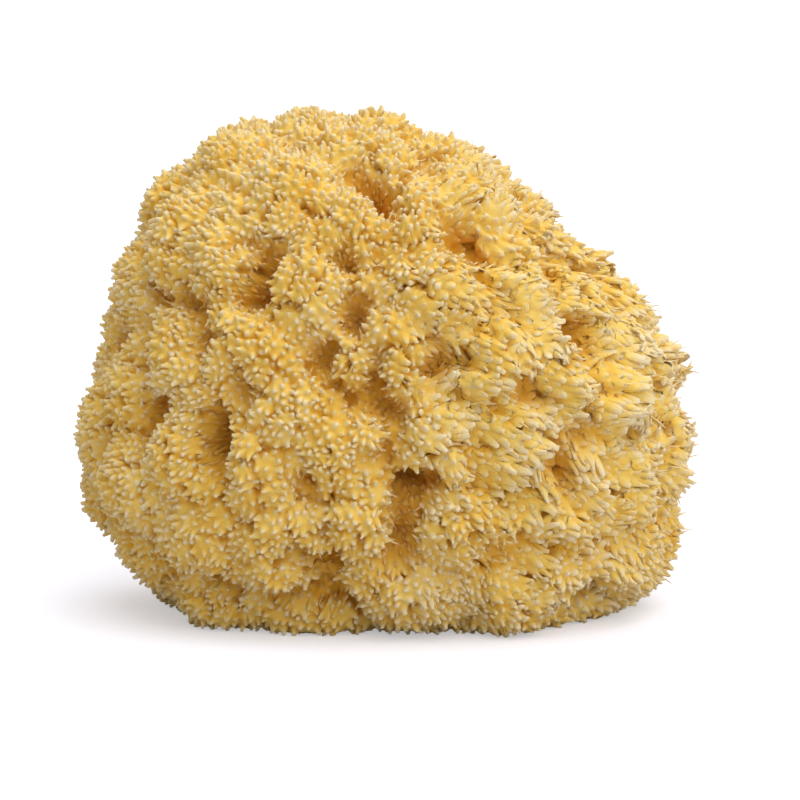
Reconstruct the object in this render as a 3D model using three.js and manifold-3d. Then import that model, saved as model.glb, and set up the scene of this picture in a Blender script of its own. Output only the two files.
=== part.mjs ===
// A natural bath sponge: one lumpy body that stands up all over in small pointed tufts, with furrows and pits
// between its lobes. It is cut off flat at the bottom, where it grew on the rock, and rests on the cut.
// Millimetres, +Z up, the front towards -Y. The origin is on the cut face, under the middle of the sponge.
import * as THREE from "three";
import { ConvexHull } from "three/addons/math/ConvexHull.js";
import { mergeVertices } from "three/addons/utils/BufferGeometryUtils.js";
import Module from "manifold-3d";

// Overall size, over the tufts
const WIDTH = 150;
const DEPTH = 122;
const HEIGHT = 122;

// The heart is the point that every radius of the body is measured from.
const HEART_HEIGHT = HEIGHT * 0.47;
const FRONT_DEPTH = DEPTH * 0.51;
const BACK_DEPTH = DEPTH * 0.49;
const BOXINESS = 2.25;
const UNEVENNESS = 0.1;
const UNEVEN_SIZE = 0.8;
const UNEVEN_START = new THREE.Vector3(3.3, 1.7, 5.2);

// Tufts: the places they are chosen from, how far apart they stand, how tall they are, and how they lean
const TUFT_PLACES = 16000;
const TUFT_PLACE_JITTER = 0.012;
const TUFT_SPACING = 4.85;
const TUFT_HEIGHT = 3.8;
const TUFT_HEIGHT_SPREAD = 0.3;
const TUFT_SPLAY = 0.5;
const LEAN_STEP = 0.2;
const COMBED_FROM = -8;
const COMBED_TO = 48;
const COMBED_LEAN = 0.8;
const COMBED_EXTRA_HEIGHT = 0.25;
const COMBED_WAY = new THREE.Vector3(0.92, 0, -0.3);

// Lobes: how many, and how far they stand out from the furrows between them
const LOBE_COUNT = 110;
const LOBE_SWELL = 5.2;
const LOBE_JITTER = 0.1;
const FURROW_SHARE = 0.5;
const LUMP_SIZE = 30;
const LUMP_HEIGHT = 1.6;

// Pits of the sides, top and back, and the share of a pit's or furrow's half width that is its floor
const PIT_COUNT = 60;
const PIT_JITTER = 0.2;
const PIT_RADIUS = 5;
const PIT_DEPTH = 8;
const PIT_SPREAD = 0.3;
const PITS_BEHIND = -0.4;
const HOLLOW_FLOOR = 0.2;

// The cut face: how close above it the ground is drawn down to it, how far apart its own points are and how far
// in they start, and the mouths of the canals that ran down to the rock, as shares of half the width and depth,
// and radius
const CUT_REACH = 1.5;
const CUT_SPACING = 13;
const CUT_INSET = 8;
const CANAL_DEPTH = 9;
const CANAL_TAPER = 0.55;
const CANAL_SIDES = 9;
const CANALS = [[-0.36, 0.12, 4.2], [0.3, 0.26, 3.4], [0.12, -0.3, 3.8], [-0.12, 0.34, 2.8], [0.5, -0.12, 3]];

const SEEDS = { lobes: 11, pits: 23, tufts: 3, order: 5 };
const SPONGE_COLOUR = 0xd9b263;

// The front outline, over the tufts, as shares of half the width and of the height, from the right foot up and
// round to the left. Its last points run below the cut, so that the cut face is broad.
const OUTLINE = [
  [0.88, 0.03], [0.965, 0.18], [0.985, 0.36], [0.95, 0.5], [0.815, 0.645], [0.615, 0.77], [0.43, 0.89],
  [0.15, 0.985], [-0.17, 1.02], [-0.5, 0.995], [-0.7, 0.9], [-0.82, 0.755], [-0.88, 0.62],
  [-0.955, 0.48], [-0.99, 0.3], [-0.95, 0.18], [-0.82, 0.06], [-0.67, -0.05], [-0.3, -0.13], [0.1, -0.15],
  [0.62, -0.12],
];

// Furrows and pits of the front, in millimetres: from (x, z) to (x, z), half width, and depth
const FURROWS = [
  [-37, 101, -29, 96, 5, 8], [-32, 96, -35, 84, 4.5, 8], [-57, 85, -46, 82, 3.5, 5],
  [-48, 73, -42, 75, 3.5, 5], [-74, 66, -60, 65, 3.5, 3], [-37, 69, -36, 60, 3.5, 6],
  [-43, 50, -43, 43, 6, 15], [-55, 59, -60, 46, 3.5, 5], [-15, 71, -15, 69, 4, 6],
  [-10, 96, -10, 94, 4.5, 8], [-8, 85, -7, 78, 4, 8], [-2, 73, -2, 62, 4, 6],
  [12, 69, 23, 70, 3.5, 6], [13, 104, 30, 93, 4.5, 7], [-7, 117, 2, 107, 4.5, 6],
  [29, 63, 41, 60, 3.5, 5], [50, 50, 62, 48, 3.5, 6], [44, 41, 45, 33, 4, 8],
  [48, 77, 49, 68, 4.5, 7], [-9, 57, 3, 55, 3.5, 6], [-7, 44, 1, 44, 3.5, 7],
  [10, 39, 3, 30, 5, 9], [3, 30, 3, 16, 4.5, 9], [-20, 37, -18, 35, 3.5, 6],
  [24, 23, 25, 20, 4, 7], [34, 14, 33, 12, 4, 7], [42, 1, 57, 2, 5, 10],
  [-45, 11, -39, 4, 4, 6], [-23, 20, -16, 13, 4.5, 10], [-26, 4, -11, 4, 4.5, 8],
];
const FURROW_END_DEPTH = 25;
const OUTLINE_STEPS = 720;

const UP = new THREE.Vector3(0, 0, 1);
const SIDEWAYS = new THREE.Vector3(1, 0, 0);
const HEART = new THREE.Vector3(0, 0, HEART_HEIGHT);
const { clamp, lerp, smoothstep } = THREE.MathUtils;

// Repeatable random numbers from 0 to 1
function randomFrom(seed) {
  let state = seed;
  return () => {
    state = (state + 0x6d2b79f5) | 0;
    let mixed = Math.imul(state ^ (state >>> 15), 1 | state);
    mixed = (mixed + Math.imul(mixed ^ (mixed >>> 7), 61 | mixed)) ^ mixed;
    return ((mixed ^ (mixed >>> 14)) >>> 0) / 2 ** 32;
  };
}

// A value from 0 to 1 for each whole-numbered place
function scatter(i, j, k) {
  const wave = Math.sin(i * 127.1 + j * 311.7 + k * 74.7) * 43758.5453;
  return wave - Math.floor(wave);
}

// Smooth noise from -1 to 1, with lumps of a given size
function noise(point, size) {
  const [x, y, z] = [point.x / size, point.y / size, point.z / size];
  const [i, j, k] = [Math.floor(x), Math.floor(y), Math.floor(z)];
  const [u, v, w] = [smoothstep(x - i, 0, 1), smoothstep(y - j, 0, 1), smoothstep(z - k, 0, 1)];
  const along = (dj, dk) => lerp(scatter(i, j + dj, k + dk), scatter(i + 1, j + dj, k + dk), u);
  const across = (dk) => lerp(along(0, dk), along(1, dk), v);
  return lerp(across(0), across(1), w) * 2 - 1;
}

// Directions spread evenly over a sphere, each moved a little
function spreadDirections(count, jitter, seed) {
  const random = randomFrom(seed);
  const shift = () => (random() * 2 - 1) * jitter;
  const goldenTurn = Math.PI * (3 - Math.sqrt(5));
  return Array.from({ length: count }, (unused, n) => {
    const y = 1 - (2 * (n + 0.5)) / count;
    const across = Math.sqrt(1 - y * y);
    const x = Math.cos(goldenTurn * n) * across;
    const z = Math.sin(goldenTurn * n) * across;
    return new THREE.Vector3(x + shift(), y + shift(), z + shift()).normalize();
  });
}

// The outline's radius about the heart at each step of angle in the front view
function outlineTable(steps) {
  const corners = OUTLINE.map(([x, z]) => new THREE.Vector3((x * WIDTH) / 2, 0, z * HEIGHT));
  const curve = new THREE.CatmullRomCurve3(corners, true, "centripetal");
  const table = new Array(steps).fill(0);
  for (const point of curve.getSpacedPoints(steps * 4)) {
    point.sub(HEART);
    const turn = Math.atan2(point.z, point.x) / (2 * Math.PI);
    const step = Math.round((turn + 1) * steps) % steps;
    table[step] = Math.max(table[step], Math.hypot(point.x, point.z));
  }
  return table;
}

const outlineRadii = outlineTable(OUTLINE_STEPS);

function outlineRadius(x, z) {
  const turn = Math.atan2(z, x) / (2 * Math.PI);
  const place = ((turn + 1) % 1) * outlineRadii.length;
  const step = Math.floor(place);
  const next = (step + 1) % outlineRadii.length;
  return lerp(outlineRadii[step], outlineRadii[next], place - step);
}

// How far it is from the heart to the general form, over the tufts
function formRadius(direction) {
  const sideways = Math.hypot(direction.x, direction.z) / outlineRadius(direction.x, direction.z);
  const halfDepth = direction.y < 0 ? FRONT_DEPTH : BACK_DEPTH;
  const uneven = 1 + UNEVENNESS * noise(direction.clone().add(UNEVEN_START), UNEVEN_SIZE);
  const depth = Math.abs(direction.y) / (halfDepth * uneven);
  return 1 / (sideways ** BOXINESS + depth ** BOXINESS) ** (1 / BOXINESS);
}

const lobes = spreadDirections(LOBE_COUNT, LOBE_JITTER, SEEDS.lobes);
const lobeSpacing = Math.sqrt((4 * Math.PI) / LOBE_COUNT);
const allPits = spreadDirections(PIT_COUNT, PIT_JITTER, SEEDS.pits);
const pits = allPits.filter((direction) => direction.y > PITS_BEHIND);

// How much a lobe swells at a direction: 1 in its middle, and 0 in the furrow between it and the next
function lobeShare(direction) {
  let nearest = Infinity;
  let next = Infinity;
  for (const lobe of lobes) {
    const gap = direction.distanceTo(lobe);
    next = Math.min(next, Math.max(gap, nearest));
    nearest = Math.min(nearest, gap);
  }
  return smoothstep((next - nearest) / lobeSpacing, 0, FURROW_SHARE);
}

const hollow = (gap, radius, depth) => depth * (1 - smoothstep(gap, radius * HOLLOW_FLOOR, radius));

function pitDepth(direction, radius) {
  const depths = pits.map((pit, n) => {
    const size = lerp(1 - PIT_SPREAD, 1 + PIT_SPREAD, scatter(n, 1, 0));
    return hollow(direction.distanceTo(pit) * radius, PIT_RADIUS * size, PIT_DEPTH * size);
  });
  return Math.max(...depths);
}

// Distance in the front view from a place to the line between two points
function gapToLine(place, ax, az, bx, bz) {
  const [ux, uz] = [bx - ax, bz - az];
  const share = clamp(((place.x - ax) * ux + (place.z - az) * uz) / (ux * ux + uz * uz), 0, 1);
  return Math.hypot(place.x - ax - share * ux, place.z - az - share * uz);
}

function furrowDepth(place) {
  const depths = FURROWS.map(([ax, az, bx, bz, halfWidth, depth]) =>
    hollow(gapToLine(place, ax, az, bx, bz), halfWidth, depth),
  );
  return Math.max(...depths) * (1 - smoothstep(place.y, 0, FURROW_END_DEPTH));
}

const pointAt = (direction, radius) => direction.clone().multiplyScalar(radius).add(HEART);

// The surface that the tufts stand on, before the cut
function groundRadius(direction) {
  const form = formRadius(direction);
  const place = pointAt(direction, form);
  const lump = LUMP_HEIGHT * noise(place, LUMP_SIZE);
  const swell = LOBE_SWELL * (lobeShare(direction) - 1);
  return form - TUFT_HEIGHT + lump + swell - Math.max(pitDepth(direction, form), furrowDepth(place));
}

const cutRadius = (direction) => (direction.z < 0 ? HEART_HEIGHT / -direction.z : Infinity);

function groundPoint(direction) {
  const radius = groundRadius(direction);
  const cut = cutRadius(direction);
  return radius > cut - CUT_REACH ? pointAt(direction, cut).setZ(0) : pointAt(direction, radius);
}

// Which way the ground faces
function groundNormal(direction) {
  const reach = 0.05;
  const upright = Math.abs(direction.z) < 0.9 ? UP : SIDEWAYS;
  const side = new THREE.Vector3().crossVectors(direction, upright).normalize();
  const other = new THREE.Vector3().crossVectors(direction, side);
  const groundTowards = (axis, amount) => {
    const turned = direction.clone().addScaledVector(axis, amount).normalize();
    return pointAt(turned, groundRadius(turned));
  };
  const across = groundTowards(side, reach).sub(groundTowards(side, -reach));
  const along = groundTowards(other, reach).sub(groundTowards(other, -reach));
  const normal = across.cross(along).normalize();
  return normal.dot(direction) < 0 ? normal.negate() : normal;
}

// Keeps points a given distance apart, by their places in a grid of cubes
class SpacedPoints {
  constructor(spacing) {
    this.spacing = spacing;
    this.cubes = new Map();
  }

  near(point) {
    const [i, j, k] = point.toArray().map((value) => Math.floor(value / this.spacing));
    const steps = [-1, 0, 1];
    return steps.flatMap((a) =>
      steps.flatMap((b) => steps.flatMap((c) => this.cubes.get(`${i + a},${j + b},${k + c}`) ?? [])),
    );
  }

  add(point) {
    if (this.near(point).some((other) => other.distanceTo(point) < this.spacing)) return false;
    const key = point.toArray().map((value) => Math.floor(value / this.spacing)).join();
    this.cubes.set(key, [...(this.cubes.get(key) ?? []), point]);
    return true;
  }
}

// The directions that the tufts stand at, and a few more for the cut face
function tuftDirections() {
  const random = randomFrom(SEEDS.order);
  const places = spreadDirections(TUFT_PLACES, TUFT_PLACE_JITTER, SEEDS.tufts);
  const candidates = places.map((direction) => ({ direction, order: random() }));
  const onBody = new SpacedPoints(TUFT_SPACING);
  const onCut = new SpacedPoints(CUT_SPACING);
  const kept = [];
  for (const { direction } of candidates.sort((a, b) => a.order - b.order)) {
    const point = groundPoint(direction);
    const inside = groundRadius(direction) - cutRadius(direction);
    if (inside > CUT_INSET && !onCut.add(point)) continue;
    if (onBody.add(point)) kept.push(direction);
  }
  return kept;
}

// Where a tuft's tip is, with its lean eased by a share from 0 to 1
function tuftTip(direction, n, ease) {
  const ground = groundPoint(direction);
  if (ground.z === 0) return ground;
  const combed = smoothstep(ground.x, COMBED_FROM, COMBED_TO);
  const tall = (1 - TUFT_HEIGHT_SPREAD * scatter(n, 7, 3)) * (1 + COMBED_EXTRA_HEIGHT * combed);
  const way = groundNormal(direction).lerp(direction, 1 - TUFT_SPLAY);
  way.addScaledVector(COMBED_WAY, COMBED_LEAN * combed);
  const tip = ground.addScaledVector(way.normalize().lerp(direction, ease), TUFT_HEIGHT * tall);
  return tip.setZ(Math.max(tip.z, 0));
}

// Each tuft is a small pyramid on the ground points in the middle of the triangles round it.
function spongeGeometry() {
  const directions = tuftDirections();
  const hull = new ConvexHull().setFromPoints(directions);
  const indexOf = new Map(directions.map((direction, n) => [direction, n]));
  const points = new Array(directions.length);
  const middleOf = new Map();
  const ringOf = directions.map(() => []);
  for (const face of hull.faces) {
    const middle = new THREE.Vector3();
    [face.edge, face.edge.next, face.edge.prev].forEach((edge) => middle.add(edge.head().point));
    middleOf.set(face, points.push(groundPoint(middle.normalize())) - 1);
  }
  for (const face of hull.faces) {
    for (const edge of [face.edge, face.edge.next, face.edge.prev]) {
      ringOf[indexOf.get(edge.tail().point)].push([middleOf.get(edge.twin.face), middleOf.get(face)]);
    }
  }
  const facesOut = (tip, ring) =>
    ring.every(([a, b]) => {
      const [p, q, r] = [tip, points[a], points[b]].map((point) => point.clone().sub(HEART));
      return p.dot(q.cross(r)) > 0;
    });
  directions.forEach((direction, n) => {
    let ease = 0;
    points[n] = tuftTip(direction, n, ease);
    while (ease < 1 && !facesOut(points[n], ringOf[n])) {
      ease += LEAN_STEP;
      points[n] = tuftTip(direction, n, ease);
    }
  });
  const geometry = new THREE.BufferGeometry().setFromPoints(points);
  geometry.setIndex(ringOf.flatMap((ring, n) => ring.flatMap(([a, b]) => [n, a, b])));
  return geometry;
}

// Brings the reach of the tufts to the overall size, with the cut face still at z = 0
function fitToSize(geometry) {
  geometry.computeBoundingBox();
  const size = geometry.boundingBox.getSize(new THREE.Vector3());
  const middle = geometry.boundingBox.getCenter(new THREE.Vector3());
  geometry.translate(-middle.x, -middle.y, 0);
  geometry.scale(WIDTH / size.x, DEPTH / size.y, HEIGHT / size.z);
  return geometry;
}

const wasm = await Module();
wasm.setup();

function toSolid(geometry) {
  geometry.deleteAttribute("normal");
  geometry.deleteAttribute("uv");
  const merged = mergeVertices(geometry);
  return new wasm.Manifold(
    new wasm.Mesh({
      numProp: 3,
      vertProperties: merged.attributes.position.array,
      triVerts: Uint32Array.from(merged.index.array),
    }),
  );
}

function toGeometry(solid) {
  const mesh = solid.getMesh();
  const geometry = new THREE.BufferGeometry();
  geometry.setAttribute("position", new THREE.BufferAttribute(mesh.vertProperties, 3));
  geometry.setIndex(new THREE.BufferAttribute(mesh.triVerts, 1));
  return geometry;
}

// A canal that narrows upwards from its mouth in the cut face
function canal([across, back, radius]) {
  const bore = new THREE.CylinderGeometry(radius, radius * CANAL_TAPER, CANAL_DEPTH * 2, CANAL_SIDES);
  bore.rotateX(-Math.PI / 2);
  bore.translate((across * WIDTH) / 2, (back * DEPTH) / 2, 0);
  return toSolid(bore);
}

function withCanals(geometry) {
  return toGeometry(CANALS.map(canal).reduce((body, bore) => body.subtract(bore), toSolid(geometry)));
}

const sponge = new THREE.Mesh(
  withCanals(fitToSize(spongeGeometry())),
  new THREE.MeshStandardMaterial({ color: SPONGE_COLOUR, roughness: 0.9, metalness: 0, flatShading: true }),
);
sponge.name = "sponge";

const part = new THREE.Group();
part.add(sponge);

export default part;
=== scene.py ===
"""A natural bath sponge: tufts on a net of low webs, long combed tufts, fine teeth and stray fibres.

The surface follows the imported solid, which it stands for. Lengths are in metres.
"""

import itertools
from functools import lru_cache

import bmesh
import bpy
import numpy as np
from mathutils import Euler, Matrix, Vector
from mathutils.bvhtree import BVHTree
from mathutils.kdtree import KDTree


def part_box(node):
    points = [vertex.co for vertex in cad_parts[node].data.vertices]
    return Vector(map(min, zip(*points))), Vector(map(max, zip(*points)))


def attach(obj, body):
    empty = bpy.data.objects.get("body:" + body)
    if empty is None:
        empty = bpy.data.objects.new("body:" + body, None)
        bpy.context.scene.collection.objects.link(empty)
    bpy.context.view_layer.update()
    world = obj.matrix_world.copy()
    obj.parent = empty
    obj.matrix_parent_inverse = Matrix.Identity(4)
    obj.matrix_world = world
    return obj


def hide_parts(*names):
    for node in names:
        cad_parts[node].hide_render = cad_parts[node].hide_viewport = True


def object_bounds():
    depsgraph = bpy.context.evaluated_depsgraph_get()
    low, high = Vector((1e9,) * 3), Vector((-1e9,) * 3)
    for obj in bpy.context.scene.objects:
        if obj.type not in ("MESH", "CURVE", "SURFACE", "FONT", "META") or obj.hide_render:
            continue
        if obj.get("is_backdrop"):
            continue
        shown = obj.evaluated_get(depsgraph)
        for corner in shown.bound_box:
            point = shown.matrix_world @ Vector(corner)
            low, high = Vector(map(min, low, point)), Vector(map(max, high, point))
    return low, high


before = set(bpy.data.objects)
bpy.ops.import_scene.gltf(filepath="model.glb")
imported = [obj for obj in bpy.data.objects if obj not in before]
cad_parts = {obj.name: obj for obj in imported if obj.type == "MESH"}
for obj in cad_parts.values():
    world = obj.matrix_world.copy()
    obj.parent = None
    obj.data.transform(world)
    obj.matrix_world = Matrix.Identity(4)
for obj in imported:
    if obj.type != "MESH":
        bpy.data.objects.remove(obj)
cad_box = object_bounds()

bl_info = {
    "name": "Natural Sponge",
    "version": (1, 0, 0),
    "blender": (4, 5, 0),
    "location": "View3D > Sidebar > Sponge",
    "description": "Builds a natural bath sponge with its tufts, furrows and pores, on a plain studio floor",
    "category": "Add Mesh",
}

MM = 0.001
NODE = "sponge"
BAKE_MAP = "OFBake"
MOST_TRIANGLES = 185_000

# The right, back and upper end of the sponge, and its heart, at a share of its height
HIGH = Vector(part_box(NODE)[1])
HEART_HEIGHT = 0.47
HEART = np.array((0.0, 0.0, HEART_HEIGHT * HIGH.z))


class SpongeForm(bpy.types.PropertyGroup):
    """The furrows, the webs between the tufts, and the pores of the cut face."""

    furrow_gain: bpy.props.FloatProperty(
        name="Furrow gain",
        description="How much deeper the furrows are than in the solid, as a share of their depth",
        default=1.2,
        min=0,
    )
    web_depth: bpy.props.FloatProperty(
        name="Web depth",
        description="How far the webs between the tufts of one clump lie under the mean surface",
        default=0.1 * MM,
        unit="LENGTH",
    )
    gap_depth: bpy.props.FloatProperty(
        name="Gap depth",
        description="How much deeper the gaps between two clumps are",
        default=1.1 * MM,
        unit="LENGTH",
    )
    hole_depth: bpy.props.FloatProperty(
        name="Hole depth",
        description="How much deeper still the holes are where three clumps meet",
        default=2.6 * MM,
        unit="LENGTH",
    )
    clump_reach: bpy.props.FloatProperty(
        name="Clump reach",
        description="From the middle of a clump to its edge",
        default=3.4 * MM,
        unit="LENGTH",
    )
    combed_reach: bpy.props.FloatProperty(
        name="Combed reach",
        description="From the middle of a clump to its edge on the combed side",
        default=5.2 * MM,
        unit="LENGTH",
    )
    ridge_height: bpy.props.FloatProperty(
        name="Ridge height",
        description="How high the webs rise between the tufts of one row, as a share of the tufts' length",
        default=0.55,
        min=0,
        max=1,
    )
    pore_spacing: bpy.props.FloatProperty(
        name="Pore spacing",
        description="The least distance between two pores of the cut face",
        default=2.6 * MM,
        unit="LENGTH",
    )
    pore_depth: bpy.props.FloatProperty(
        name="Pore depth",
        description="Depth of the deepest pores of the cut face",
        default=4.0 * MM,
        unit="LENGTH",
    )


class SpongeTufts(bpy.types.PropertyGroup):
    """The short round tufts, the long combed ones, and the fine teeth."""

    spacing: bpy.props.FloatProperty(
        name="Tuft spacing",
        description="The least distance between two short tufts",
        default=1.5 * MM,
        unit="LENGTH",
    )
    length: bpy.props.FloatProperty(
        name="Tuft length",
        description="Length of a short tuft from its root in the webs",
        default=1.6 * MM,
        unit="LENGTH",
    )
    thickness: bpy.props.FloatProperty(
        name="Tuft thickness",
        description="Thickness of a short tuft near its tip",
        default=0.95 * MM,
        unit="LENGTH",
    )
    combed_length: bpy.props.FloatProperty(
        name="Combed length",
        description="Length of the longest tufts of the combed side",
        default=3.7 * MM,
        unit="LENGTH",
    )
    combed_width: bpy.props.FloatProperty(
        name="Combed width",
        description="Width of a combed tuft",
        default=1.35 * MM,
        unit="LENGTH",
    )
    overhang: bpy.props.FloatProperty(
        name="Overhang",
        description="How far the combed clumps are laid over the gaps beside them",
        default=2.4 * MM,
        unit="LENGTH",
    )
    combed_way: bpy.props.FloatVectorProperty(
        name="Combed way",
        description="The way that the tufts of the right side are laid",
        default=(0.92, -0.1, -0.3),
        subtype="DIRECTION",
    )
    tooth_length: bpy.props.FloatProperty(
        name="Tooth length",
        description="Length of the fine teeth on the tufts' ends",
        default=2.4 * MM,
        unit="LENGTH",
    )
    tooth_thickness: bpy.props.FloatProperty(
        name="Tooth thickness",
        description="Thickness of the fine teeth at their roots",
        default=0.6 * MM,
        unit="LENGTH",
    )
    seed: bpy.props.IntProperty(
        name="Seed",
        description="Start of the random numbers that place the tufts",
        default=7,
        min=0,
    )


class SpongeColours(bpy.types.PropertyGroup):
    """The colours of the fibre; the root colour also paints the shade of the webs, gaps, hollows and pores.
    """

    tip: bpy.props.FloatVectorProperty(
        name="Tips",
        description="Pale colour of the tufts' tips",
        default=(0.9, 0.75, 0.46),
        subtype="COLOR",
        min=0,
        max=1,
    )
    fibre: bpy.props.FloatVectorProperty(
        name="Fibre",
        description="Golden colour of the tufts' sides",
        default=(0.84, 0.575, 0.12),
        subtype="COLOR",
        min=0,
        max=1,
    )
    # The root colour also serves as painted shade in the webs, gaps, holes, hollows and pores
    root: bpy.props.FloatVectorProperty(
        name="Roots",
        description="Amber colour of the webs and of the pits",
        default=(0.74, 0.38, 0.02),
        subtype="COLOR",
        min=0,
        max=1,
    )


class SpongeStage(bpy.types.PropertyGroup):
    """The plain studio round the sponge."""

    floor: bpy.props.FloatVectorProperty(
        name="Floor",
        description="Colour of the floor",
        default=(0.66, 0.65, 0.71),
        subtype="COLOR",
        min=0,
        max=1,
    )
    floor_glow: bpy.props.FloatProperty(
        name="Floor glow",
        description="How much whiter the floor looks than the light on it makes it",
        default=0.43,
        min=0,
    )
    top_light: bpy.props.FloatProperty(
        name="Top light",
        description="Strength of the soft light overhead",
        default=1.72,
        min=0,
    )
    top_light_place: bpy.props.FloatVectorProperty(
        name="Top light place",
        description="The way from the sponge to the light overhead",
        default=(0.1, 0.1, 1.0),
        subtype="XYZ",
    )
    side_light: bpy.props.FloatProperty(
        name="Side light",
        description="Strength of the soft light from the upper right",
        default=1.46,
        min=0,
    )
    side_light_place: bpy.props.FloatVectorProperty(
        name="Side light place",
        description="The way from the sponge to the light from the upper right",
        default=(0.62, -0.78, 0.85),
        subtype="XYZ",
    )
    spread: bpy.props.FloatProperty(
        name="Light spread",
        description="How wide both lights are, seen from the sponge",
        default=np.radians(70),
        unit="ROTATION",
    )
    sky: bpy.props.FloatProperty(
        name="Sky",
        description="Strength of the even light from all round",
        default=0.42,
        min=0,
    )
    sky_colour: bpy.props.FloatVectorProperty(
        name="Sky colour",
        description="Colour of the even light from all round",
        default=(0.93, 0.95, 1),
        subtype="COLOR",
        min=0,
        max=1,
    )
    distance: bpy.props.FloatProperty(
        name="Camera distance",
        description="From the camera to the middle of the view",
        default=0.95,
        unit="LENGTH",
    )
    elevation: bpy.props.FloatProperty(
        name="Camera elevation",
        description="How far above level the camera stands",
        default=np.radians(8),
        unit="ROTATION",
    )
    view_width: bpy.props.FloatProperty(
        name="View width",
        description="Width of what the camera sees where the sponge is",
        default=192.3 * MM,
        unit="LENGTH",
    )
    aim: bpy.props.FloatVectorProperty(
        name="Aim",
        description="The point in the middle of the view",
        default=(3.6 * MM, 0, 50.1 * MM),
        subtype="XYZ",
        unit="LENGTH",
    )


def unit(vectors):
    """The same vectors, all of length 1."""
    return vectors / np.maximum(np.linalg.norm(vectors, axis=-1, keepdims=True), 1e-12)


def along_of(vectors, ways):
    """How far each vector goes along its way."""
    return np.sum(vectors * ways, axis=-1, keepdims=True)


def smoothstep(values, low, high):
    """A smooth rise from 0 at low to 1 at high."""
    share = np.clip((values - low) / (high - low), 0, 1)
    return share * share * (3 - 2 * share)


def lattice(cells):
    """A value from 0 to 1 for each whole-numbered place."""
    wave = np.sin(cells @ np.array((127.1, 311.7, 74.7))) * 43758.5453
    return wave - np.floor(wave)


def noise(points, size):
    """Smooth noise from -1 to 1 with lumps of a given size."""
    cells = np.floor(points / size)
    share = points / size - cells
    share = share * share * (3 - 2 * share)
    total = np.zeros(len(points))
    for corner in itertools.product((0, 1), repeat=3):
        weight = np.prod(np.where(corner, share, 1 - share), axis=1)
        total += weight * lattice(cells + corner)
    return total * 2 - 1


def drift_at(places, size, apart):
    """Vectors that drift slowly over the surface."""
    return np.stack([noise(places + n * apart, size) for n in range(3)], axis=1)


def between(first, second, share):
    """Values between two others, each by its own share."""
    share = np.reshape(share, (-1, *(1,) * (np.ndim(second) - 1)))
    return first * (1 - share) + second * share


def tree_of(points):
    """A search tree for the nearest of many points."""
    tree = KDTree(len(points))
    for n, point in enumerate(points):
        tree.insert(point, n)
    tree.balance()
    return tree


def nearest(tree, points):
    """Number of the nearest point in the tree, for each point."""
    return np.array([tree.find(point)[1] for point in points])


def spaced(points, spacing):
    """Numbers of the points that are kept so that each has its spacing free round it."""
    tree = tree_of(points)
    free = np.ones(len(points), bool)
    kept = []
    for n, point in enumerate(points):
        if free[n]:
            kept.append(n)
            for _, near, _ in tree.find_range(point, spacing[n]):
                free[near] = False
    return np.array(kept)


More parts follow.
